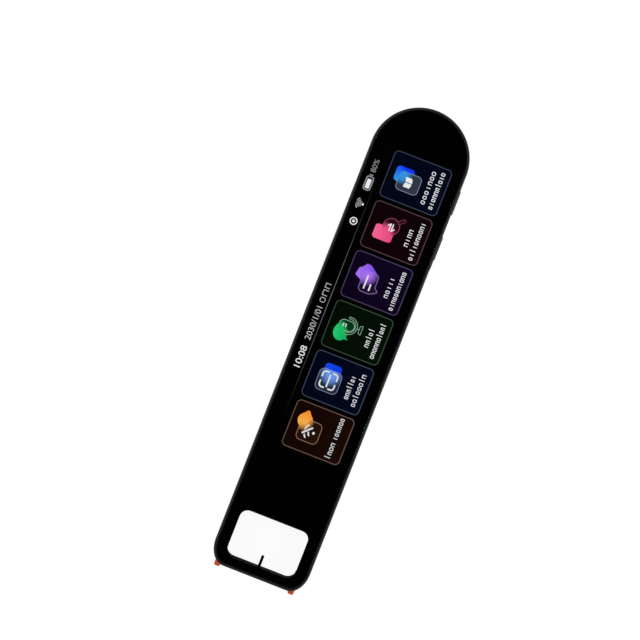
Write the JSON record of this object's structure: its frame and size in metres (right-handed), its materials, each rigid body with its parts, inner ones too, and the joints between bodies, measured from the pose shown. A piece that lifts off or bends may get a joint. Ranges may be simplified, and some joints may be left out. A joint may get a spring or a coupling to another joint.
{
  "type": "scanning pen",
  "caption": "Slim hand-held reading pen with a long touch screen, a see-through scanning tip with a sprung press frame, side keys, and a camera and speaker on the back.",
  "frame": {"origin": "the middle of the flat back face, on the back panel", "axes": "+X towards the side keys, +Y towards the round end, +Z out of the screen; the pen lies on its back"},
  "size_m": [0.0328, 0.1621, 0.0125],
  "materials": {
    "shell_plastic": "fine matte moulded plastic",
    "cover_glass": "polished cover glass",
    "black_print": "black print on the back of the glass",
    "screen": "lit colour screen",
    "white_film": "white diffuser film",
    "steel": "plated steel",
    "flex": "amber circuit film",
    "panel_plastic": "fine matte moulded plastic",
    "deck_plastic": "satin moulded plastic",
    "dust_mesh": "black dust mesh",
    "foam": "black foam",
    "black_part": "black moulded part",
    "bright_metal": "turned and polished metal",
    "spun_metal": "dark metal with fine turned rings",
    "lens_glass": "coated lens glass",
    "circuit_board": "green solder mask",
    "key_plastic": "satin moulded plastic",
    "battery_foil": "matte pouch foil",
    "orange_plastic": "moulded orange plastic",
    "light": "white light on its small board"
  },
  "bodies": {
    "body": {"housing": "shell_plastic", "cover_glass": "cover_glass", "bezel_print": "black_print", "screen_panel": "screen", "backlight_unit": "white_film", "screen_tray": "steel", "screen_flex": "flex", "back_panel": "panel_plastic", "camera_deck": "deck_plastic", "speaker_mesh": "dust_mesh", "speaker_gasket": "foam", "speaker": "black_part", "camera_ring": "bright_metal", "camera_dial": "spun_metal", "camera_lens": "lens_glass", "camera_module": "black_part", "main_board": "circuit_board", "processor_shield": "steel", "radio_shield": "steel", "microphone": "steel", "charging_socket": "steel", "power_switch": "black_part", "function_switch": "black_part", "battery": "battery_foil", "scan_flex": "flex", "antenna": "flex", "frame_spring_left": "steel", "frame_spring_right": "steel", "scan_board": "circuit_board", "scan_camera": "black_part", "scan_lens": "lens_glass", "scan_shroud": "black_part", "scan_light_left": "light", "scan_light_right": "light", "trigger_switch": "black_part", "board_screw_1": "steel", "board_screw_2": "steel", "board_screw_3": "steel", "board_screw_4": "steel", "scan_screw_1": "steel", "scan_screw_2": "steel"},
    "power_button": {"power_key": "key_plastic"},
    "function_button": {"function_key": "key_plastic"},
    "nib": {"press_frame": "orange_plastic"}
  },
  "joints": [
    {"name": "power_key_press", "type": "slide", "parent": "body", "child": "power_button", "axis": [-1, 0, 0], "range_m": [0, 0.00035], "stiffness_N_per_m": 300, "springref_m": -0.003},
    {"name": "function_key_press", "type": "slide", "parent": "body", "child": "function_button", "axis": [-1, 0, 0], "range_m": [0, 0.00035], "stiffness_N_per_m": 300, "springref_m": -0.003},
    {"name": "press_frame_slide", "type": "slide", "parent": "body", "child": "nib", "axis": [0, 1, 0], "range_m": [0, 0.001], "stiffness_N_per_m": 250, "springref_m": -0.003, "deforming": ["frame_spring_left", "frame_spring_right"]}
  ]
}
